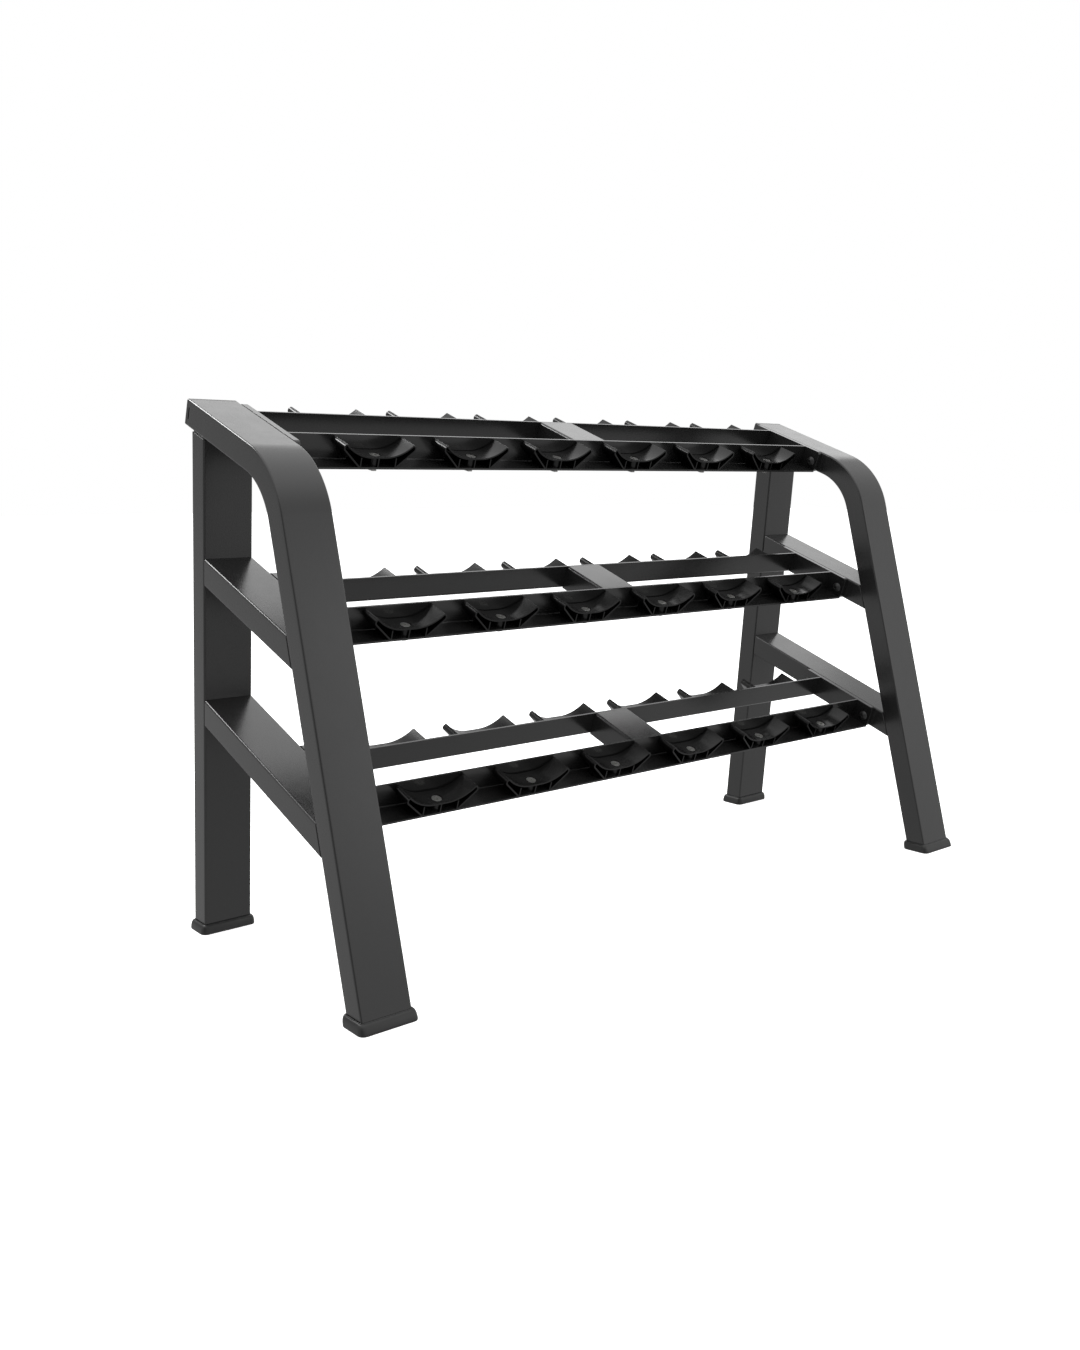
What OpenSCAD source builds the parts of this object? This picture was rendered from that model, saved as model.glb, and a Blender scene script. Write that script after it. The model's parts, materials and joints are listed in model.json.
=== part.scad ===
// Three-tier saddle rack for dumbbells, free standing.
// X runs along the rack, +Y is the back, +Z is up. The origin is on the floor, under the middle of the rack.

/* [Overall size] */
// Length over the outer faces of the two side frames
rack_l = 1700; // [1540:1:2100]
// Depth over the front and rear feet
rack_d = 670; // [560:1:850]
// Height of the rear upper corner of the top member
rack_h = 1055; // [870:1:1300]

/* [Side frame] */
// Width of the frame tube, along the rack
tube_w = 100; // [60:1:120]
// Depth of the frame tube, across the rack
tube_d = 50; // [40:1:60]
// Wall of the frame tube
tube_t = 3; // [2:0.5:3.5]
// Outer corner radius of the frame tube
tube_r = 4; // [4:0.5:8]
// Slope of the top member, the crossbars and the shelves
slope = 20; // [12:1:28]
// Lean of the rear post towards the front
post_lean = 5; // [0:1:8]
// Lean of the front leg towards the back
leg_lean = 15; // [10:1:20]
// Outer radius of the bend between the top member and the front leg
bend_r = 178; // [140:1:220]
// Reach of the top member past the rear post
overhang = 32; // [10:1:60]
// Thickness of the flange of the end cap
cap_t = 6; // [3:0.5:8]
// Depth of the end cap's plug inside the tube
plug_l = 14; // [12:1:20]
// Gap between the plug and the inside of the tube
plug_gap = 0.3; // [0.2:0.1:0.8]

/* [Feet] */
// Height of a foot
foot_h = 20; // [16:1:40]
// Rubber under the end of a tube
foot_pad = 6; // [4:1:10]
// How far a foot stands out past its tube on the floor
foot_flare = 8.5; // [7:0.5:20]
// How far a foot's upper edge stands out past its tube
foot_lip = 2.5; // [1.5:0.5:5]
// Gap between a tube and its foot's pocket
foot_gap = 0.4; // [0.2:0.1:1]

/* [Shelves] */
// Drop from one shelf to the next
tier_drop = 317; // [260:1:360]
// Step towards the front from one shelf to the next
tier_step = 96; // [70:1:120]
// Distance from the rear end of the top member to the top shelf's end plate, along the slope
shelf_inset = 14.5; // [8:0.5:30]
// Distance between the outer faces of the front and rear rails' uprights
rail_span = 128; // [100:1:150]
// Height of a rail's upright, flange thickness included
rail_h = 52; // [44:1:64]
// How far a rail's flange stands out from its upright
flange_w = 49; // [42:1:60]
// Sheet thickness of the rails and the brace
rail_t = 4; // [3:0.5:6]
// Inner bend radius of the rails and the brace
sheet_r = 2; // [1:0.5:2.5]
// Thickness of an end plate
plate_t = 12; // [6:1:16]
// Corner radius of an end plate
plate_r = 9; // [4:0.5:14]
// Width of the centre brace
brace_w = 98; // [60:1:140]

/* [Saddles] */
// Distance from one dumbbell place to the next
pitch = 227; // [190:1:240]
// Width over the horns of a saddle
saddle_w = 160; // [140:1:180]
// Width of a saddle's base
saddle_base = 86; // [74:1:100]
// Height of a saddle's horns above the flange
saddle_h = 45; // [42:1:54]
// Height of the trough's floor above the flange
floor_h = 20; // [17:1:22]
// Half of the flat width of the trough's floor
floor_flat = 13; // [12:1:20]
// Radius of the trough's curved sides
trough_r = 85; // [70:1:110]
// Diameter of a horn's rounded shoulder
horn_d = 16; // [12:0.5:18]
// Wall of the moulded saddle
wall = 3; // [2:0.5:4]
// Thickness of the ribs under the trough
rib_t = 2.5; // [2:0.5:4]
// Gap from a saddle to the rails' bend behind it
root_gap = 1; // [0.5:0.5:2]
// How far a saddle stays back from the flange's front edge
saddle_gap = 0.5; // [0.3:0.1:2]

/* [Fasteners] */
// Diameter of the shelf bolts
bolt_d = 12; // [8:1:14]
// Diameter of a shelf bolt's head
bolt_head = 24; // [20:1:28]
// Length of a shelf bolt under its head
bolt_l = 32; // [30:1:50]
// Distance from an upright to the shelf bolts
bolt_out = 30; // [18:1:34]
// Diameter of the saddle screws
screw_d = 10; // [6:1:10]
// Diameter of a saddle screw's countersunk head
screw_head = 20; // [16:1:21]
// Distance from an upright to the saddle screws
screw_out = 30; // [22:1:34]
// Play of a fastener in its hole, on the diameter
hole_play = 0.6; // [0.2:0.1:1]
// Play of a thread in its nut, on the diameter
thread_play = 0.1; // [0.05:0.05:0.3]

/* [Hidden] */
$fn = 48;
places = 6;
TIERS = ["top", "mid", "low"];
ROWS = ["front", "rear"];
SIDES = ["left", "right"];

SADDLES = [for (t = TIERS) for (r = ROWS) for (i = [1:places]) str("saddle_", t, "_", r, "_", i)];
TUBES = [for (s = SIDES) for (p = ["bent_tube", "rear_post", "mid_crossbar", "low_crossbar"]) str(s, "_", p)];
ENDS = [for (s = SIDES) for (p = ["top_cap", "front_foot", "rear_foot"]) str(s, "_", p)];
SHELVES = ["top_rails", "mid_rails", "low_rails", "centre_braces", "left_end_plates", "right_end_plates"];
FASTENERS = ["shelf_bolts", "shelf_nuts", "saddle_screws", "saddle_nuts"];

far = 3000;          // size of the blocks that trim the tubes' ends
hair = 0.03;         // step that keeps a flat face from only grazing a round one
nut_l = 10;          // length of the weld nuts
nut_across = 1.6;    // width of a nut over its thread's diameter
dome_share = 0.28;   // height of a shelf bolt's head over its width
socket_share = 0.7;  // width of a bolt's socket over its thread's diameter
window_l = 22;       // clip window in each side of the top member, for the end cap's plug
window_w = 4;
window_in = 4;       // from the end of the tube to its clip windows
hidden_nut_h = 7;    // thickness of the nuts under the flanges
foot_edge = 1;       // inward slant of a foot's lowest edge
belly_steps = 8;     // flats that make up a foot's rounded flank
plug_edge = 1;       // gap between a plug's corners and the tube's rounded inside
head_ring = 2;       // shallow ring around a saddle screw's head
ring_deep = 0.6;
groove_w = 1.8;      // half-round grooves along a horn
groove_turns = [14, 38]; // their places on its shoulder, as angles from the top
screw_past = 1;      // how far a saddle screw stands out of its nut
socket_deep = 0.5;   // depth of a bolt's socket over the height of its head
over = 1;            // how far a cut runs past the face that it opens
overlap = 0.01;      // overlap of two cuts that open into each other
rib_in = 4.5;        // from the foot of a saddle's outer wall to the middle of the rib beside it

inner_l = rack_l - 2 * tube_w;
rails_l = inner_l - 2 * plate_t;
plate_d = rail_span + 2 * flange_w;
side_x = (rack_l - tube_w) / 2;

// Directions in the side view, as [y, z]
down_slope = [-cos(slope), -sin(slope)];
above = [-sin(slope), cos(slope)];
leg_up = [sin(leg_lean), cos(leg_lean)];
leg_inward = [cos(leg_lean), -sin(leg_lean)];

// Where the tubes' faces and middle lines would meet the floor; the feet are widest at belly_z.
belly_z = foot_pad / 2;
post_across = tube_d / cos(post_lean);
leg_across = tube_d / cos(leg_lean);
post_rear_y = rack_d / 2 - foot_flare + belly_z * tan(post_lean);
leg_front_y = -rack_d / 2 + foot_flare - belly_z * tan(leg_lean);
post_y = post_rear_y - post_across / 2;
leg_y = leg_front_y + leg_across / 2;

// Rear end of the top member: its lower corner, its middle and its upper corner
end_low_z = rack_h - tube_d * cos(slope);
post_top_z = end_low_z - overhang * sin(slope);
end_low = [post_rear_y - post_top_z * tan(post_lean) + overhang * cos(slope), end_low_z];
end_mid = end_low + above * tube_d / 2;
end_top = end_low + above * tube_d;

// The bend's centre lies bend_r inside both the top face and the leg's front face.
function cross2(a, b) = a[0] * b[1] - a[1] * b[0];
function meet(p, u, q, v) = p + u * cross2(q - p, v) / cross2(u, v);
bend_mid_r = bend_r - tube_d / 2;
bend_c = meet(end_top - above * bend_r, down_slope, [leg_front_y, 0] + leg_inward * bend_r, leg_up);
bend_turn = 90 - slope - leg_lean;
bend_start = bend_c + above * bend_mid_r;
bend_end = bend_c - leg_inward * bend_mid_r;
member_l = norm(end_mid - bend_start) - cap_t;
leg_l = norm(bend_end - [leg_y, 0]);

// Middle of a shelf's top, between its rails, for tier 0 (top), 1 or 2
function shelf_at(tier) = end_top + down_slope * (shelf_inset + plate_d / 2) - [tier_step, tier_drop] * tier;

// Heights inside a shelf, from its top
flange_z = rail_t - rail_h;
bolt_z = -rail_h / 2 - rail_t;
upright_y = rail_span / 2;

// Saddle: depth, middle of a horn's shoulder, and the line of the outer wall, which runs into the shoulder
saddle_back = sheet_r + root_gap;
saddle_d = flange_w - saddle_back - saddle_gap;
horn_r = horn_d / 2;
tip = [saddle_w / 2 - horn_r, saddle_h - horn_r];
foot_x = saddle_base / 2;
tip_away = norm(tip - [foot_x, 0]);
wall_angle = atan2(tip[1], tip[0] - foot_x) - asin(horn_r / tip_away);
wall_out = [sin(wall_angle), -cos(wall_angle)];
boss_d = screw_head + 2 * wall;
cone_h = (screw_head - screw_d) / 2;
screw_l = floor_h - ring_deep + rail_t + hidden_nut_h + screw_past;

function place_x(i) = (i - (places + 1) / 2) * pitch;

// ---------- shared shapes ----------

module rounded_rect(w, d, r) {
    square([w - 2 * r, d], center = true);
    square([w, d - 2 * r], center = true);
    for (x = [-1, 1])
        for (y = [-1, 1])
            translate([x * (w / 2 - r), y * (d / 2 - r)]) circle(r);
}

module at_side(p) {
    translate([0, p[0], p[1]]) children();
}

// A side view drawn in [y, z], made l long along the rack
module side_extrude(l) {
    rotate([90, 0, 90]) linear_extrude(l, center = true) children();
}

module on_side(side) {
    translate([side == "left" ? -side_x : side_x, 0, 0]) children();
}

// Local Y goes up the slope to the rear, and local Z stands square to it.
module on_shelf(tier) {
    at_side(shelf_at(tier)) rotate([slope, 0, 0]) children();
}

// Front row as drawn, rear row mirrored: the origin is the foot of the upright, on the flange.
module on_row(row) {
    mirror([0, row == "front" ? 0 : 1, 0]) translate([0, -upright_y, flange_z]) children();
}

module hex_nut(across, l, bore) {
    difference() {
        cylinder(h = l, d = across / cos(30), $fn = 6);
        translate([0, 0, -over]) cylinder(h = l + 2 * over, d = bore);
    }
}

// Shelf bolt holes: along X, at both bolts of a shelf end, in the shelf's frame
module bolt_places() {
    for (s = [-1, 1]) translate([0, s * (upright_y + bolt_out), bolt_z]) children();
}

// ---------- side frames ----------

module below_pad() {
    translate([-far / 2, -far / 2, foot_pad - far]) cube(far);
}

module over_member() {
    at_side(end_low) rotate([slope, 0, 0]) translate([-far / 2, -far / 2, 0]) cube(far);
}

module behind_post_front() {
    at_side([post_rear_y - post_across, 0]) rotate([post_lean, 0, 0])
        translate([-far / 2, 0, -far / 2]) cube(far);
}

module before_leg_rear() {
    at_side([leg_front_y + leg_across, 0]) rotate([-leg_lean, 0, 0])
        translate([-far / 2, -far, -far / 2]) cube(far);
}

// Hollow section, with its outer and inner faces moved out of the wall by grow
module tube_section(grow = 0) {
    hollow = tube_t + grow;
    difference() {
        rounded_rect(tube_w + 2 * grow, tube_d + 2 * grow, tube_r + grow);
        rounded_rect(tube_w - 2 * hollow, tube_d - 2 * hollow, tube_r - hollow);
    }
}

module post_run() {
    at_side([post_y, 0]) rotate([post_lean, 0, 0])
        translate([0, 0, -tube_d]) linear_extrude(rack_h + tube_d) tube_section();
}

// The straight parts end inside the wall of the bend, which is thicker by a hair.
module bent_run() {
    at_side([leg_y, 0]) rotate([-leg_lean, 0, 0])
        translate([0, 0, -tube_d]) linear_extrude(leg_l + tube_d + tube_t / 2) tube_section();
    at_side(bend_c) rotate([90, 0, 90]) rotate(90 + slope)
        rotate_extrude(angle = bend_turn, $fn = 180) translate([bend_mid_r, 0]) rotate(90) tube_section(hair);
    at_side(bend_start + down_slope * tube_t / 2) rotate([slope - 90, 0, 0])
        linear_extrude(member_l + tube_t / 2) tube_section();
}

module bar_run(tier) {
    on_shelf(tier) translate([0, 0, -tube_d / 2]) rotate([90, 0, 0])
        linear_extrude(rack_d, center = true) tube_section();
}

// Holes for one shelf's bolts, through the inner wall of a side frame only
module frame_bolt_holes(side, tier) {
    on_shelf(tier) bolt_places()
        translate([side == "left" ? tube_w / 2 : -tube_w / 2, 0, 0])
            rotate([0, 90, 0]) cylinder(h = 3 * tube_t, d = bolt_d + hole_play, center = true);
}

module bent_tube(side) {
    color("#3a3a3b") on_side(side) difference() {
        bent_run();
        below_pad();
        frame_bolt_holes(side, 0);
        at_side(end_mid) rotate([slope + 90, 0, 0]) translate([0, 0, cap_t + window_in + window_w / 2])
            for (x = [-1, 1]) translate([x * tube_w / 2, 0, 0]) cube([3 * tube_t, window_l, window_w], center = true);
    }
}

module rear_post(side) {
    color("#3f3f40") on_side(side) difference() {
        post_run();
        below_pad();
        over_member();
    }
}

module crossbar(side, tier) {
    color("#444446") on_side(side) difference() {
        bar_run(tier);
        behind_post_front();
        before_leg_rear();
        frame_bolt_holes(side, tier);
    }
}

module top_cap(side) {
    plug_w = tube_w - 2 * (tube_t + plug_gap + plug_edge);
    plug_d = tube_d - 2 * (tube_t + plug_gap + plug_edge);
    color("#333333") on_side(side) at_side(end_mid) rotate([slope + 90, 0, 0]) {
        linear_extrude(cap_t) rounded_rect(tube_w, tube_d, tube_r);
        linear_extrude(cap_t + plug_l) square([plug_w, plug_d], center = true);
    }
}

// A foot's outline around a tube that measures half on half past its middle, leaning by shift per unit height
module foot_side(half, shift) {
    belly = [for (i = [0:belly_steps]) let (a = 90 * i / belly_steps) [
        half + foot_lip + (foot_flare - foot_lip) * sin(a),
        foot_h - (foot_h - belly_z) * (1 - cos(a))
    ]];
    right = concat(belly, [[half + foot_flare - foot_edge, 0]]);
    left = [for (i = [len(right) - 1:-1:0]) [-right[i][0], right[i][1]]];
    polygon([for (p = concat(right, left)) [p[0] + p[1] * shift, p[1]]]);
}

module foot(y, lean) {
    across = tube_d / cos(lean);
    corner_r = foot_flare + tube_r;
    at_side([y, 0]) difference() {
        intersection() {
            side_extrude(2 * tube_w) foot_side(across / 2, -tan(lean));
            rotate([90, 0, 0]) linear_extrude(4 * tube_d, center = true) foot_side(tube_w / 2, 0);
            rotate([lean, 0, 0]) linear_extrude(4 * foot_h, center = true)
                rounded_rect(tube_w + 2 * foot_flare, tube_d + 2 * foot_flare, corner_r);
        }
        difference() {
            rotate([lean, 0, 0]) linear_extrude(4 * foot_h, center = true)
                rounded_rect(tube_w + 2 * foot_gap, tube_d + 2 * foot_gap, tube_r + foot_gap);
            below_pad();
        }
    }
}

module front_foot(side) {
    color("#1c1c1c") on_side(side) foot(leg_y, -leg_lean);
}

module rear_foot(side) {
    color("#1c1c1c") on_side(side) foot(post_y, post_lean);
}

// ---------- shelves ----------

// Angle section of a front rail, with the foot of the upright's outer face at the origin
module rail_section() {
    bend = sheet_r + rail_t;
    difference() {
        union() {
            translate([0, sheet_r]) square([rail_t, rail_h - rail_t - sheet_r]);
            translate([-flange_w, -rail_t]) square([flange_w - sheet_r, rail_t]);
            intersection() {
                translate([-sheet_r, sheet_r]) circle(bend);
                translate([-sheet_r, sheet_r - bend]) square(bend);
            }
        }
        translate([-sheet_r, sheet_r]) circle(sheet_r);
    }
}

module rails(tier) {
    color("#26272a") on_shelf(tier) for (row = ROWS) on_row(row) difference() {
        side_extrude(rails_l) rail_section();
        for (i = [1:places]) translate([place_x(i), -screw_out, -2 * rail_t])
            cylinder(h = 3 * rail_t, d = screw_d + hole_play);
    }
}

// A channel, open below, that fits between the two uprights
module centre_brace(tier) {
    gap_d = rail_span - 2 * rail_t;
    bend = sheet_r + rail_t;
    on_shelf(tier) rotate([90, 0, 0]) linear_extrude(gap_d, center = true) difference() {
        union() {
            translate([-brace_w / 2 + bend, -rail_t]) square([brace_w - 2 * bend, rail_t]);
            for (x = [-1, 1]) {
                translate([x * (brace_w - rail_t) / 2, -(rail_h + bend) / 2])
                    square([rail_t, rail_h - bend], center = true);
                intersection() {
                    translate([x * (brace_w / 2 - bend), -bend]) circle(bend);
                    translate([x * (brace_w / 2 - bend / 2), -bend / 2]) square(bend, center = true);
                }
            }
        }
        for (x = [-1, 1]) translate([x * (brace_w / 2 - bend), -bend]) circle(sheet_r);
    }
}

module centre_braces() {
    color("#6a6b6d") for (tier = [0:2]) centre_brace(tier);
}

module end_plates(side) {
    x = (side == "left" ? -1 : 1) * (inner_l - plate_t) / 2;
    color("#2e2f32") for (tier = [0:2]) on_shelf(tier) translate([x, 0, 0]) difference() {
        translate([0, 0, -rail_h / 2]) side_extrude(plate_t) rounded_rect(plate_d, rail_h, plate_r);
        bolt_places() rotate([0, 90, 0]) cylinder(h = 2 * plate_t, d = bolt_d + hole_play, center = true);
    }
}

// ---------- saddles ----------

// The room above the trough, grown by grow
module trough_room(grow) {
    translate([-floor_flat, floor_h - grow]) square([2 * floor_flat, saddle_h]);
    for (x = [-1, 1]) translate([x * floor_flat, floor_h + trough_r]) circle(trough_r + grow, $fn = 96);
}

// Outline from the base to the horns' shoulders, drawn in by inset, with its lower edge at z
module saddle_outline(inset, z) {
    base = [foot_x, 0] - wall_out * inset;
    top = tip + wall_out * (horn_r - inset - hair);
    low = base + (top - base) * (z - base[1]) / (top[1] - base[1]);
    crown = tip + [0, horn_r - inset - hair];
    polygon([[-low[0], low[1]], low, top, crown, [-crown[0], crown[1]], [-top[0], top[1]]]);
    for (x = [-1, 1]) translate([x * tip[0], tip[1]]) circle(horn_r - inset);
}

module saddle_body_section() {
    difference() {
        saddle_outline(0, 0);
        trough_room(0);
        for (x = [-1, 1])
            for (turn = groove_turns)
                translate([x * tip[0], tip[1]]) rotate(-x * turn) translate([0, horn_r]) circle(groove_w / 2);
    }
}

// Room under the trough, open towards the flange
module saddle_hollow_section() {
    difference() {
        saddle_outline(wall, -over);
        trough_room(wall);
    }
}

// Origin at the foot of the upright; the saddle reaches towards -Y, and stands on the flange.
module saddle() {
    screw_y = -screw_out;
    difference() {
        union() {
            difference() {
                translate([0, -saddle_back, 0]) rotate([90, 0, 0])
                    linear_extrude(saddle_d) saddle_body_section();
                translate([0, -saddle_back - wall, 0]) rotate([90, 0, 0])
                    linear_extrude(saddle_d) saddle_hollow_section();
            }
            for (x = [-1, 0, 1]) translate([x * (foot_x - rib_in) - rib_t / 2, -saddle_back - saddle_d, 0])
                cube([rib_t, saddle_d - wall / 2, floor_h - wall / 2]);
            translate([0, screw_y, 0]) cylinder(h = floor_h - wall / 2, d = boss_d);
        }
        translate([0, screw_y, -over]) cylinder(h = floor_h + 2 * over, d = screw_d + hole_play);
        translate([0, screw_y, floor_h - ring_deep]) cylinder(h = saddle_h, d = screw_head + 2 * head_ring);
        translate([0, screw_y, floor_h - ring_deep - cone_h])
            cylinder(h = cone_h + overlap, d1 = screw_d + hole_play, d2 = screw_head + hole_play);
    }
}

// ---------- fasteners ----------

// Every saddle screw's place, with Z up through the trough
module screw_places() {
    for (tier = [0:2]) on_shelf(tier) for (row = ROWS) on_row(row) for (i = [1:places])
        translate([place_x(i), -screw_out, 0]) children();
}

// Every shelf bolt's place: +Z points out of the shelf into the side frame
module bolt_heads() {
    for (s = [-1, 1]) for (tier = [0:2]) on_shelf(tier) bolt_places()
        translate([s * (inner_l / 2 - plate_t), 0, 0]) rotate([0, 90 * s, 0]) children();
}

module saddle_screws() {
    top_z = floor_h - ring_deep;
    color("#b9b9b6") screw_places() difference() {
        union() {
            translate([0, 0, top_z - screw_l]) cylinder(h = screw_l - cone_h / 2, d = screw_d);
            translate([0, 0, top_z - cone_h]) cylinder(h = cone_h, d1 = screw_d, d2 = screw_head);
        }
        translate([0, 0, top_z - cone_h * socket_deep])
            cylinder(h = cone_h, d = screw_d * socket_share, $fn = 6);
    }
}

module saddle_nuts() {
    color("#a9a9a6") screw_places() translate([0, 0, -rail_t - hidden_nut_h])
        hex_nut(screw_d * nut_across, hidden_nut_h, screw_d + thread_play);
}

module shelf_bolts() {
    head_h = bolt_head * dome_share;
    dome_r = (head_h * head_h + bolt_head * bolt_head / 4) / (2 * head_h);
    color("#202022") bolt_heads() difference() {
        union() {
            cylinder(h = bolt_l, d = bolt_d);
            intersection() {
                translate([0, 0, dome_r - head_h]) sphere(dome_r);
                translate([0, 0, -head_h]) cylinder(h = head_h, d = bolt_head);
            }
        }
        translate([0, 0, -head_h - over])
            cylinder(h = head_h * socket_deep + over, d = bolt_d * socket_share, $fn = 6);
    }
}

module shelf_nuts() {
    color("#8d8d8a") bolt_heads() translate([0, 0, plate_t + tube_t])
        hex_nut(bolt_d * nut_across, nut_l, bolt_d + thread_play);
}

// ---------- nodes ----------

for (side = SIDES) {
    bent_tube(side);
    rear_post(side);
    crossbar(side, 1);
    crossbar(side, 2);
    top_cap(side);
    front_foot(side);
    rear_foot(side);
    end_plates(side);
}
for (tier = [0:2]) {
    rails(tier);
    for (row = ROWS)
        for (i = [1:places])
            color("#101012") on_shelf(tier) on_row(row) translate([place_x(i), 0, 0]) saddle();
}
centre_braces();
shelf_bolts();
shelf_nuts();
saddle_screws();
saddle_nuts();
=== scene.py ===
"""Looks of a three-tier saddle rack for dumbbells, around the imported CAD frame.

Metres, +Z up, +Y to the back.
"""

import json
import math

import bmesh
import bpy
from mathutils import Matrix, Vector


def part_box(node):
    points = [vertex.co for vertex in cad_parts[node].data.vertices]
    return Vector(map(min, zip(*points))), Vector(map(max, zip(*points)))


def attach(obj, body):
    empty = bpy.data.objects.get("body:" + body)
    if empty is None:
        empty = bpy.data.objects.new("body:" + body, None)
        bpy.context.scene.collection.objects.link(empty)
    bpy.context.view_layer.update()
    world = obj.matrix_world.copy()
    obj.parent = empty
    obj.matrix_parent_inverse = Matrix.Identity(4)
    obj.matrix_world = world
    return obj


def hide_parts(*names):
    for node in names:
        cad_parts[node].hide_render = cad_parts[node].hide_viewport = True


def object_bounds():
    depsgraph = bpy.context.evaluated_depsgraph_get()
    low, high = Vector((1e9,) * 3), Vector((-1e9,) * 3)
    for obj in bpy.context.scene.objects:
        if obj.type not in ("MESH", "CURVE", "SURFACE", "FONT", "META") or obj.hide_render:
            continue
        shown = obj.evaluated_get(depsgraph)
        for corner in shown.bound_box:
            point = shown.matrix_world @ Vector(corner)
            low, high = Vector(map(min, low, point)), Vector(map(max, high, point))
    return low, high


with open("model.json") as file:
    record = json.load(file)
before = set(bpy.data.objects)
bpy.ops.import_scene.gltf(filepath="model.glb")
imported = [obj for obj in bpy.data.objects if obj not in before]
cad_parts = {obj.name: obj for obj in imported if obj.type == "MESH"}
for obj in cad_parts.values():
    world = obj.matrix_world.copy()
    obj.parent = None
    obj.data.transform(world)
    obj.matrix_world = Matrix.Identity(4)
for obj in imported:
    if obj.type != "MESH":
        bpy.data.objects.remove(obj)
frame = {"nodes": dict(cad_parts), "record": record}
cad_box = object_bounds()
scene = bpy.context.scene

MM = 0.001
SIDES = ("left", "right")
TIERS = ("top", "mid", "low")
ROWS = ("front", "rear")
PLACES = range(1, 7)

# Sizes of the side frames' tube and of the feet, as in the CAD
TUBE_W, TUBE_D, TUBE_R, TUBE_T = 100 * MM, 50 * MM, 4 * MM, 3 * MM
FOOT_H, FOOT_PAD, FOOT_FLARE, FOOT_LIP, FOOT_GAP = 20 * MM, 6 * MM, 8.5 * MM, 2.5 * MM, 0.4 * MM
OVERHANG, BEND_R, CAP_T = 32 * MM, 178 * MM, 6 * MM
WINDOW_L, WINDOW_W, WINDOW_IN = 22 * MM, 4 * MM, 4 * MM
SLOPE, POST_LEAN, LEG_LEAN = math.radians(20), math.radians(5), math.radians(15)
LEANS = {"front": -LEG_LEAN, "rear": POST_LEAN}

# ---------- camera, light and floor ----------

CAMERA_AT = (-1.8547, -2.0039, 0.9051)
CAMERA_TILT, CAMERA_TURN = math.radians(81.084), math.radians(-39.476)
LENS = 33.23

camera = bpy.data.objects.new("camera", bpy.data.cameras.new("camera"))
scene.collection.objects.link(camera)
camera.location = CAMERA_AT
camera.rotation_euler = (CAMERA_TILT, 0, CAMERA_TURN)
camera.data.lens = LENS
camera.data.sensor_width = 36
scene.camera = camera
scene.view_settings.view_transform = "Standard"


def area_light(name, at, target, size, power):
    data = bpy.data.lights.new(name, "AREA")
    data.shape = "RECTANGLE"
    data.size, data.size_y = size
    data.energy = power
    light = bpy.data.objects.new(name, data)
    scene.collection.objects.link(light)
    light.location = at
    light.rotation_euler = (Vector(target) - Vector(at)).to_track_quat("-Z", "Y").to_euler()
    return light


area_light("rear_softbox", (2.6, 2.9, 3.0), (0, 0.1, 0.8), (4.2, 2.6), 30)
area_light("front_softbox", (2.4, -3.2, 1.6), (0, 0, 0.6), (2.6, 1.8), 10)
area_light("edge_softbox", (-1.64, 2.61, 3.52), (-0.85, 0.2, 1.0), (1.6, 0.6), 52)

# Brightness of the studio by height: 0 is straight down, 0.5 the horizon and 1 overhead
SKY = ((0.0, 0.50), (0.42, 0.66), (0.54, 0.86), (0.80, 0.90), (0.93, 1.5), (1.0, 1.5))
# Dark screens: direction, where their edge starts and ends as cosines, and what they leave of the light
SCREENS = (
    ((-0.75, -0.62, 0.12), (0.80, 0.95), 0.35),
    ((-0.44, 0.88, 0.25), (0.90, 0.985), 0.50),
    ((0.80, 0.45, 0.40), (0.90, 0.99), 0.80),
)


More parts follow.
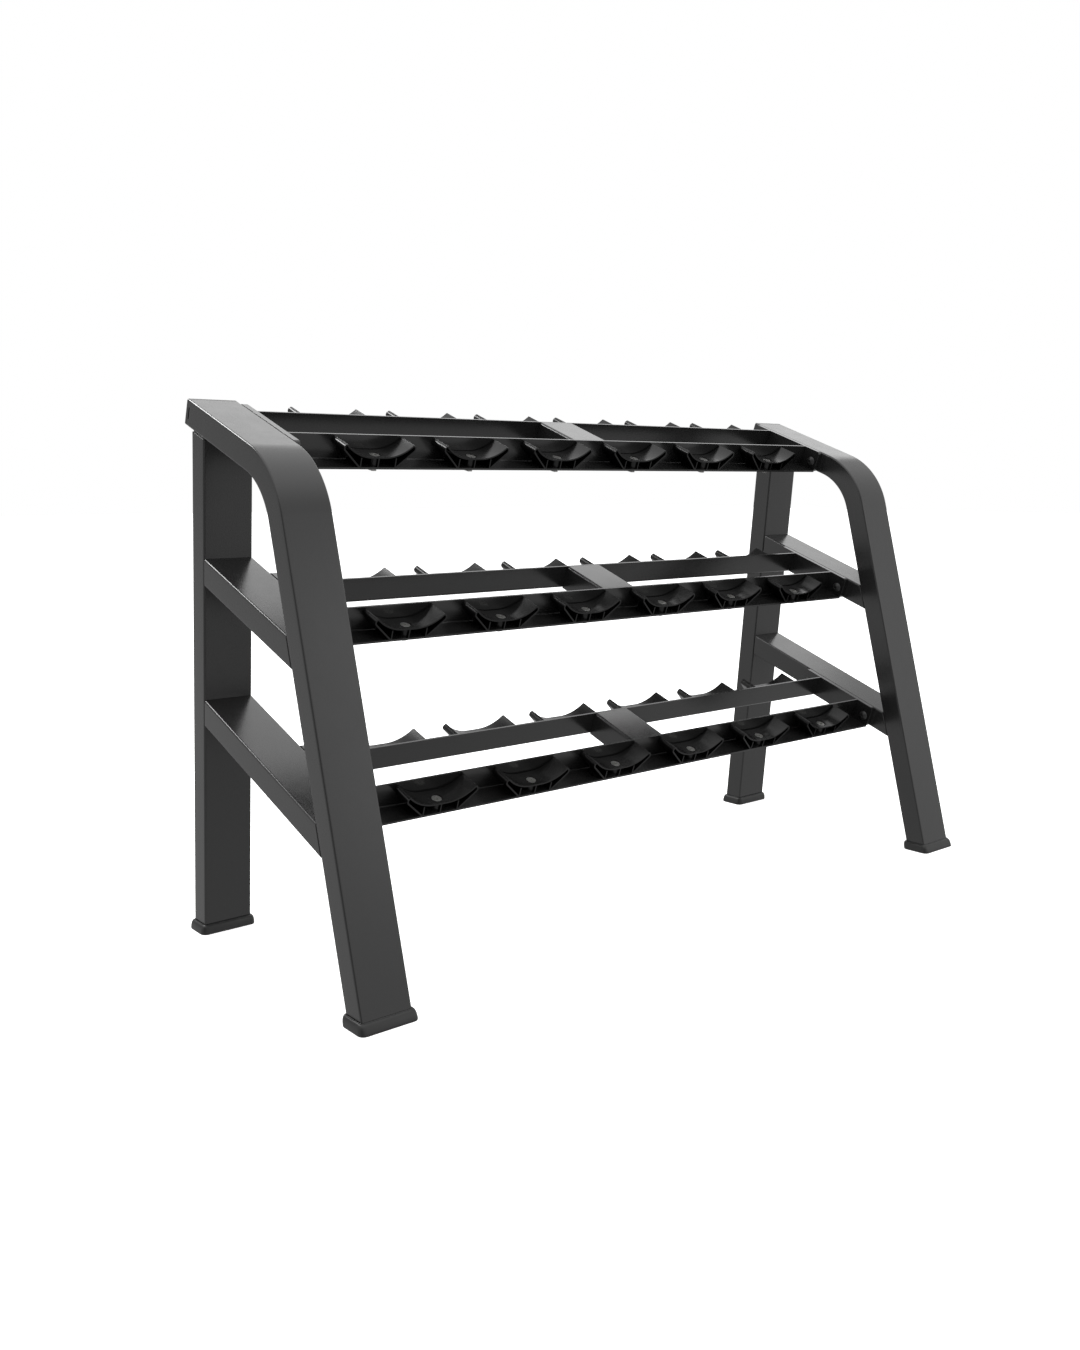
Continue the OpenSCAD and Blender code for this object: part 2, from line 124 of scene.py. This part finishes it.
def make_world():
    """Soft sky that is brighter overhead; the lens sees it as plain white."""
    world = bpy.data.worlds.new("studio")
    scene.world = world
    world.use_nodes = True
    tree = world.node_tree
    tree.nodes.clear()
    out = tree.nodes.new("ShaderNodeOutputWorld")
    coord = tree.nodes.new("ShaderNodeTexCoord")
    split = tree.nodes.new("ShaderNodeSeparateXYZ")
    ramp = tree.nodes.new("ShaderNodeValToRGB")
    brightest = max(level for _, level in SKY)
    for height, level in SKY[1:-1]:
        ramp.color_ramp.elements.new(height)
    for element, (height, level) in zip(ramp.color_ramp.elements, SKY):
        element.position = height
        element.color = (*[level / brightest] * 3, 1)
    half = tree.nodes.new("ShaderNodeMath")
    half.operation = "MULTIPLY_ADD"
    half.inputs[1].default_value = 0.5
    half.inputs[2].default_value = 0.5
    sky = tree.nodes.new("ShaderNodeBackground")
    sky.inputs["Strength"].default_value = brightest
    plain = tree.nodes.new("ShaderNodeBackground")
    plain.inputs["Color"].default_value = (1, 1, 1, 1)
    path = tree.nodes.new("ShaderNodeLightPath")
    mix = tree.nodes.new("ShaderNodeMixShader")
    link = tree.links.new
    link(coord.outputs["Generated"], split.inputs[0])
    link(split.outputs["Z"], half.inputs[0])
    link(half.outputs[0], ramp.inputs[0])
    light = ramp.outputs[0]
    for towards, (edge, full), left in SCREENS:
        facing = tree.nodes.new("ShaderNodeVectorMath")
        facing.operation = "DOT_PRODUCT"
        facing.inputs[1].default_value = Vector(towards).normalized()
        screen = tree.nodes.new("ShaderNodeMapRange")
        screen.interpolation_type = "SMOOTHSTEP"
        screen.inputs["From Min"].default_value, screen.inputs["From Max"].default_value = edge, full
        screen.inputs["To Min"].default_value, screen.inputs["To Max"].default_value = 1, left
        shade = tree.nodes.new("ShaderNodeVectorMath")
        shade.operation = "SCALE"
        link(coord.outputs["Generated"], facing.inputs[0])
        link(facing.outputs["Value"], screen.inputs["Value"])
        link(light, shade.inputs[0])
        link(screen.outputs[0], shade.inputs["Scale"])
        light = shade.outputs[0]
    link(light, sky.inputs["Color"])
    link(path.outputs["Is Camera Ray"], mix.inputs[0])
    link(sky.outputs[0], mix.inputs[1])
    link(plain.outputs[0], mix.inputs[2])
    link(mix.outputs[0], out.inputs["Surface"])


make_world()


FLOOR_REACH = 30


def make_floor():
    """Pale floor that lights nothing and shows in no reflection."""
    mesh = bpy.data.meshes.new("floor")
    corners = ((-1, -1), (1, -1), (1, 1), (-1, 1))
    mesh.from_pydata([(x * FLOOR_REACH, y * FLOOR_REACH, 0) for x, y in corners], [], [(0, 1, 2, 3)])
    floor = bpy.data.objects.new("floor", mesh)
    scene.collection.objects.link(floor)
    paint = bpy.data.materials.new("floor")
    paint.use_nodes = True
    shader = paint.node_tree.nodes["Principled BSDF"]
    shader.inputs["Base Color"].default_value = (0.9, 0.9, 0.9, 1)
    shader.inputs["Roughness"].default_value = 0.9
    shader.inputs["Emission Color"].default_value = (1, 1, 1, 1)
    shader.inputs["Emission Strength"].default_value = 0.75
    mesh.materials.append(paint)
    floor.visible_diffuse = False
    floor.visible_glossy = False


make_floor()

# ---------- materials ----------


BUMP_HEIGHT = 0.2 * MM


def material(name, color, roughness, spread=0.04, grain=900.0, bump=0.05,
             metallic=0.0, rough_spread=0.05, cloud=6.0, specular=0.5):
    """Clouded colour, uneven gloss and a fine grain."""
    made = bpy.data.materials.new(name)
    made.use_nodes = True
    tree = made.node_tree
    link = tree.links.new
    shader = tree.nodes["Principled BSDF"]
    shader.inputs["Metallic"].default_value = metallic
    shader.inputs["Specular IOR Level"].default_value = specular
    coord = tree.nodes.new("ShaderNodeTexCoord")

    def noise(scale, detail, soft=0.5):
        n = tree.nodes.new("ShaderNodeTexNoise")
        n.inputs["Scale"].default_value = scale
        n.inputs["Detail"].default_value = detail
        n.inputs["Roughness"].default_value = soft
        link(coord.outputs["Object"], n.inputs["Vector"])
        return n.outputs["Fac"]

    def ramp(source, low, high, start=0.3, end=0.7):
        r = tree.nodes.new("ShaderNodeValToRGB")
        r.color_ramp.elements[0].position, r.color_ramp.elements[1].position = start, end
        r.color_ramp.elements[0].color = (*low, 1)
        r.color_ramp.elements[1].color = (*high, 1)
        link(source, r.inputs[0])
        return r.outputs[0]

    low = [c * (1 - spread) for c in color]
    high = [c * (1 + spread) for c in color]
    tint = ramp(noise(cloud, 4), low, high)
    link(tint, shader.inputs["Base Color"])
    level = ramp(noise(cloud * 5, 3), [roughness - rough_spread] * 3, [roughness + rough_spread] * 3)
    link(level, shader.inputs["Roughness"])
    rise = tree.nodes.new("ShaderNodeBump")
    rise.inputs["Strength"].default_value = bump
    rise.inputs["Distance"].default_value = BUMP_HEIGHT
    link(noise(grain, 2, 0.6), rise.inputs["Height"])
    link(rise.outputs[0], shader.inputs["Normal"])
    return made


LOOKS = {
    "frame_paint": material("frame_powder_coat", (0.016, 0.016, 0.016), 0.24, bump=0.12, grain=900,
                            rough_spread=0.02, specular=0.6),
    "shelf_paint": material("shelf_powder_coat", (0.012, 0.012, 0.012), 0.20, bump=0.12, grain=900,
                            rough_spread=0.02, specular=0.6),
    "cap_plastic": material("cap_grained_plastic", (0.012, 0.012, 0.012), 0.30, bump=0.2, grain=1500),
    "saddle_plastic": material("saddle_moulded_plastic", (0.003, 0.003, 0.003), 0.24, spread=0.12, bump=0.08,
                               grain=1200, rough_spread=0.02, specular=0.35),
    "foot_rubber": material("foot_rubber", (0.010, 0.010, 0.010), 0.38, spread=0.10, bump=0.3, grain=1400),
    "black_steel": material("black_oxide_steel", (0.030, 0.030, 0.030), 0.35, spread=0.15, bump=0.1,
                            metallic=0.4),
    "zinc_steel": material("zinc_plated_steel", (0.30, 0.30, 0.29), 0.34, spread=0.25, bump=0.1, metallic=1.0,
                           cloud=400),
}
SLOTS = {entry["node"]: entry["material_slot"] for entry in frame["record"]["subparts"]}

# ---------- pieces ----------


def add_piece(name, mesh, *nodes):
    piece = bpy.data.objects.new(name, mesh)
    scene.collection.objects.link(piece)
    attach(piece, "root")
    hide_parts(*nodes)
    return piece


def smooth(mesh, angle=35):
    for polygon in mesh.polygons:
        polygon.use_smooth = True
    mesh.set_sharp_from_angle(angle=math.radians(angle))


def finish_mesh(bm, name, slot):
    mesh = bpy.data.meshes.new(name)
    bmesh.ops.recalc_face_normals(bm, faces=bm.faces)
    bm.to_mesh(mesh)
    bm.free()
    smooth(mesh)
    mesh.materials.append(LOOKS[slot])
    return mesh


def even_normals(piece):
    """Flat faces stay flat right up to their rounded edges."""
    made = piece.modifiers.new("even_normals", "WEIGHTED_NORMAL")
    made.keep_sharp = True
    made.weight = 80


# Corners closer than this are one, and faces within this angle are one flat face
SAME_CORNER, FLAT_ANGLE = 0.002 * MM, math.radians(0.4)


def refined(node, width, segments=3, sharp=28):
    """A copy of a CAD node with its sharp edges rounded by width."""
    bm = bmesh.new()
    bm.from_mesh(frame["nodes"][node].data)
    bmesh.ops.remove_doubles(bm, verts=bm.verts, dist=SAME_CORNER)
    bmesh.ops.dissolve_limit(bm, angle_limit=FLAT_ANGLE, verts=bm.verts, edges=bm.edges)
    limit = math.radians(sharp)
    edges = [e for e in bm.edges if len(e.link_faces) == 2 and e.calc_face_angle() > limit]
    bmesh.ops.bevel(bm, geom=edges, offset=width, offset_type="OFFSET", segments=segments, profile=0.5,
                    affect="EDGES", clamp_overlap=True)
    mesh = finish_mesh(bm, node + "_looks", SLOTS[node])
    piece = add_piece(node + "_piece", mesh, node)
    even_normals(piece)
    return piece


# ---------- side frames ----------

# Directions in the side view, as (y, z)
ABOVE = Vector((-math.sin(SLOPE), math.cos(SLOPE)))
DOWN_SLOPE = Vector((-math.cos(SLOPE), -math.sin(SLOPE)))
LEG_OUT = Vector((-math.cos(LEG_LEAN), math.sin(LEG_LEAN)))
LEG_DOWN = Vector((-math.sin(LEG_LEAN), -math.cos(LEG_LEAN)))
POST_OUT = Vector((math.cos(POST_LEAN), math.sin(POST_LEAN)))
POST_UP = Vector((-math.sin(POST_LEAN), math.cos(POST_LEAN)))

# The feet are widest at half the height of their pads. The tubes' faces follow from the whole depth
# and height.
POST_REAR = Vector((cad_box[1].y - FOOT_FLARE + FOOT_PAD / 2 * math.tan(POST_LEAN), 0))
LEG_FRONT = Vector((cad_box[0].y + FOOT_FLARE - FOOT_PAD / 2 * math.tan(LEG_LEAN), 0))
POST_MID = POST_REAR - Vector((TUBE_D / 2 / math.cos(POST_LEAN), 0))
LEG_MID = LEG_FRONT + Vector((TUBE_D / 2 / math.cos(LEG_LEAN), 0))
POST_FRONT = 2 * POST_MID - POST_REAR
LEG_REAR = 2 * LEG_MID - LEG_FRONT


def meet(p, u, q, v):
    """Where the line through p along u meets the line through q along v."""
    return p + u * (q - p).cross(v) / u.cross(v)


END_LOW_Z = cad_box[1].z - TUBE_D * math.cos(SLOPE)
POST_TOP = meet(POST_REAR, POST_UP, Vector((0, END_LOW_Z - OVERHANG * math.sin(SLOPE))), Vector((1, 0)))
END_LOW = POST_TOP - DOWN_SLOPE * OVERHANG
END_MID = END_LOW + ABOVE * TUBE_D / 2
BEND_C = meet(END_LOW + ABOVE * (TUBE_D - BEND_R), DOWN_SLOPE, LEG_FRONT - LEG_OUT * BEND_R, LEG_DOWN)

CORNER_STEPS = 6
BEND_STEPS = 56
STEP_SLANT = 0.2 * MM


def tube_ring(inset, radius):
    """Section of a tube as (across, outward) points; its sides are split at the windows' ends."""
    half_w, half_d, split = TUBE_W / 2 - inset, TUBE_D / 2 - inset, WINDOW_L / 2
    ring = []
    for turn, sx, sy in ((0, 1, 1), (90, -1, 1), (180, -1, -1), (270, 1, -1)):
        for i in range(CORNER_STEPS + 1):
            a = math.radians(turn + 90 * i / CORNER_STEPS)
            across = sx * (half_w - radius) + radius * math.cos(a)
            ring.append((across, sy * (half_d - radius) + radius * math.sin(a)))
        if turn == 90:
            ring += [(-half_w, split), (-half_w, -split)]
        if turn == 270:
            ring += [(half_w, -split), (half_w, split)]
    return ring


def carried(point, along, plane):
    at, normal = plane
    return point + along * ((at - point).dot(normal) / along.dot(normal))


def swept_tube(name, middle, planes, chamfers, windows=None, step=0):
    """A hollow tube along middle, a list of (point, outward direction) in the side view, cut off at two
    planes. The side walls are open between stations windows and windows + 1. Where step is set, the last
    end is drawn in over that length, with a step instead of a chamfer."""
    low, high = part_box(name)
    centre_x = (low.x + high.x) / 2
    full, hollow = tube_ring(0, TUBE_R), tube_ring(TUBE_T, TUBE_R - TUBE_T)
    rows = [(station, full, None, 0) for station in middle[1:-1]]
    for end, plane, chamfer, inward in ((0, planes[0], chamfers[0], 1), (-1, planes[1], chamfers[1], -1)):
        drawn_in = tube_ring(chamfer, TUBE_R)
        reaches = [(drawn_in, 0), (full, chamfer)]
        if step and end:
            reaches = [(drawn_in, 0), (drawn_in, step), (full, step + STEP_SLANT)]
        stations = [(middle[end], section, plane, reach * inward) for section, reach in reaches]
        rows = stations + rows if end == 0 else rows + stations[::-1]
    bm = bmesh.new()
    skins = ([], [])
    for (at, out), section, plane, back in rows:
        along = Vector((-out.y, out.x))
        if along.dot(middle[-1][0] - middle[0][0]) < 0:
            along = -along
        for skin, ring in zip(skins, (section, hollow)):
            verts = []
            for across, outward in ring:
                p = at + out * outward
                if plane:
                    p = carried(p, along, plane) + along * back
                verts.append(bm.verts.new((centre_x + across, p.x, p.y)))
            skin.append(verts)
    outer, inner = skins
    around = len(full)
    openings = [i for i in range(around) if full[i][0] == full[(i + 1) % around][0]
                and abs(full[i][1]) == abs(full[(i + 1) % around][1]) == WINDOW_L / 2]
    for k in range(len(rows) - 1):
        for i in range(around):
            j = (i + 1) % around
            if windows is not None and k == windows + 1 and i in openings:
                loop_out = (outer[k][i], outer[k][j], outer[k + 1][j], outer[k + 1][i])
                loop_in = (inner[k][i], inner[k][j], inner[k + 1][j], inner[k + 1][i])
                for a in range(4):
                    b = (a + 1) % 4
                    bm.faces.new((loop_out[a], loop_out[b], loop_in[b], loop_in[a]))
                continue
            bm.faces.new((outer[k][i], outer[k][j], outer[k + 1][j], outer[k + 1][i]))
            bm.faces.new((inner[k][i], inner[k + 1][i], inner[k + 1][j], inner[k][j]))
    for k in (0, -1):
        for i in range(around):
            j = (i + 1) % around
            bm.faces.new((outer[k][i], inner[k][i], inner[k][j], outer[k][j]))
    piece = add_piece(name + "_piece", finish_mesh(bm, name + "_looks", SLOTS[name]), name)
    even_normals(piece)
    return piece


def bent_middle():
    """From the rear end of the top member, round the bend, down the leg."""
    radius = BEND_R - TUBE_D / 2
    end = END_MID + DOWN_SLOPE * CAP_T
    stations = [(end, ABOVE)]
    stations += [(end + DOWN_SLOPE * reach, ABOVE) for reach in (WINDOW_IN, WINDOW_IN + WINDOW_W)]
    turn = math.pi / 2 - SLOPE - LEG_LEAN
    for i in range(BEND_STEPS + 1):
        a = math.pi / 2 + SLOPE + turn * i / BEND_STEPS
        out = Vector((math.cos(a), math.sin(a)))
        stations.append((BEND_C + out * radius, out))
    stations.append((LEG_MID, LEG_OUT))
    return stations


def crossbar_middle(node):
    """The upper rear corner of a crossbar is its highest point, on the front of the post."""
    corner = meet(POST_FRONT, POST_UP, Vector((0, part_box(node)[1].z)), Vector((1, 0)))
    middle = corner - ABOVE * TUBE_D / 2
    return [(middle, ABOVE), (middle + DOWN_SLOPE * TUBE_D, ABOVE)]


TUBE_EDGE, WELD_EDGE, POST_STEP = 0.5 * MM, 2 * MM, 2.8 * MM
GROUND = (Vector((0, FOOT_PAD)), Vector((0, 1)))
for side in SIDES:
    swept_tube(f"{side}_bent_tube", bent_middle(), ((END_MID + DOWN_SLOPE * CAP_T, DOWN_SLOPE), GROUND),
               (TUBE_EDGE, TUBE_EDGE), windows=1)
    swept_tube(f"{side}_rear_post", [(POST_MID, POST_OUT), (POST_MID + POST_UP * TUBE_D, POST_OUT)],
               (GROUND, (END_LOW, ABOVE)), (TUBE_EDGE, WELD_EDGE), step=POST_STEP)
    for bar in ("mid_crossbar", "low_crossbar"):
        swept_tube(f"{side}_{bar}", crossbar_middle(f"{side}_{bar}"),
                   ((POST_FRONT, POST_OUT), (LEG_REAR, LEG_OUT)), (WELD_EDGE, WELD_EDGE))
    refined(f"{side}_top_cap", 0.8 * MM)
    refined(f"{side}_end_plates", 1.0 * MM)
for tier in TIERS:
    refined(f"{tier}_rails", 0.6 * MM)
refined("centre_braces", 0.6 * MM)
for fasteners in ("shelf_bolts", "shelf_nuts", "saddle_screws", "saddle_nuts"):
    refined(fasteners, 0.4 * MM, 2)
for tier in TIERS:
    for row in ROWS:
        for place in PLACES:
            refined(f"saddle_{tier}_{row}_{place}", 0.3 * MM, 2)


def rounded_ring(bm, half_x, half_y, radius, centre_y, z, steps=8):
    ring = []
    for turn, sx, sy in ((0, 1, 1), (90, -1, 1), (180, -1, -1), (270, 1, -1)):
        for i in range(steps + 1):
            a = math.radians(turn + 90 * i / steps)
            x = sx * (half_x - radius) + radius * math.cos(a)
            y = sy * (half_y - radius) + radius * math.sin(a)
            ring.append(bm.verts.new((x, centre_y + y, z)))
    return ring


def make_foot(side, where):
    """A rubber boot: rounded flanks, a soft lip, and a pocket that the leaning tube stands in."""
    node = f"{side}_{where}_foot"
    low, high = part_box(node)
    lean = LEANS[where]
    belly_z = FOOT_PAD / 2
    half_x, half_y = TUBE_W / 2, TUBE_D / 2 / math.cos(lean)
    # The outer box is widest at belly_z, where both flanks stand FOOT_FLARE past the tube.
    shift = -math.tan(lean)
    centre_x = (low.x + high.x) / 2
    if where == "front":
        middle_y = low.y + half_y + FOOT_FLARE - belly_z * shift
    else:
        middle_y = high.y - half_y - FOOT_FLARE - belly_z * shift
    outer = [(0, FOOT_FLARE - 1.4 * MM), (0.4 * MM, FOOT_FLARE - 0.5 * MM), (1.4 * MM, FOOT_FLARE - 0.1 * MM)]
    belly = 10
    for i in range(belly, -1, -1):
        a = math.radians(90 * i / belly)
        outer.append((FOOT_H - 1 * MM - (FOOT_H - 1 * MM - belly_z) * (1 - math.cos(a)),
                      FOOT_LIP + (FOOT_FLARE - FOOT_LIP) * math.sin(a)))
    lip = [(FOOT_H - 0.3 * MM, FOOT_LIP - 0.3 * MM), (FOOT_H, FOOT_LIP - 1.0 * MM),
           (FOOT_H, FOOT_GAP + 0.5 * MM), (FOOT_H - 0.5 * MM, FOOT_GAP), (FOOT_PAD, FOOT_GAP)]
    bm = bmesh.new()
    rings = []
    for z, past in outer + lip:
        lean_y = max(z, belly_z) * shift
        rings.append(rounded_ring(bm, half_x + past, half_y + past, TUBE_R + past, middle_y + lean_y, z))
    for a, b in zip(rings, rings[1:]):
        for i in range(len(a)):
            j = (i + 1) % len(a)
            bm.faces.new((a[i], a[j], b[j], b[i]))
    bm.faces.new(rings[0][::-1])
    bm.faces.new(rings[-1])
    bmesh.ops.translate(bm, verts=bm.verts, vec=(centre_x, 0, 0))
    mesh = finish_mesh(bm, node + "_looks", "foot_rubber")
    add_piece(node + "_piece", mesh, node)


for side in SIDES:
    for where in ("front", "rear"):
        make_foot(side, where)
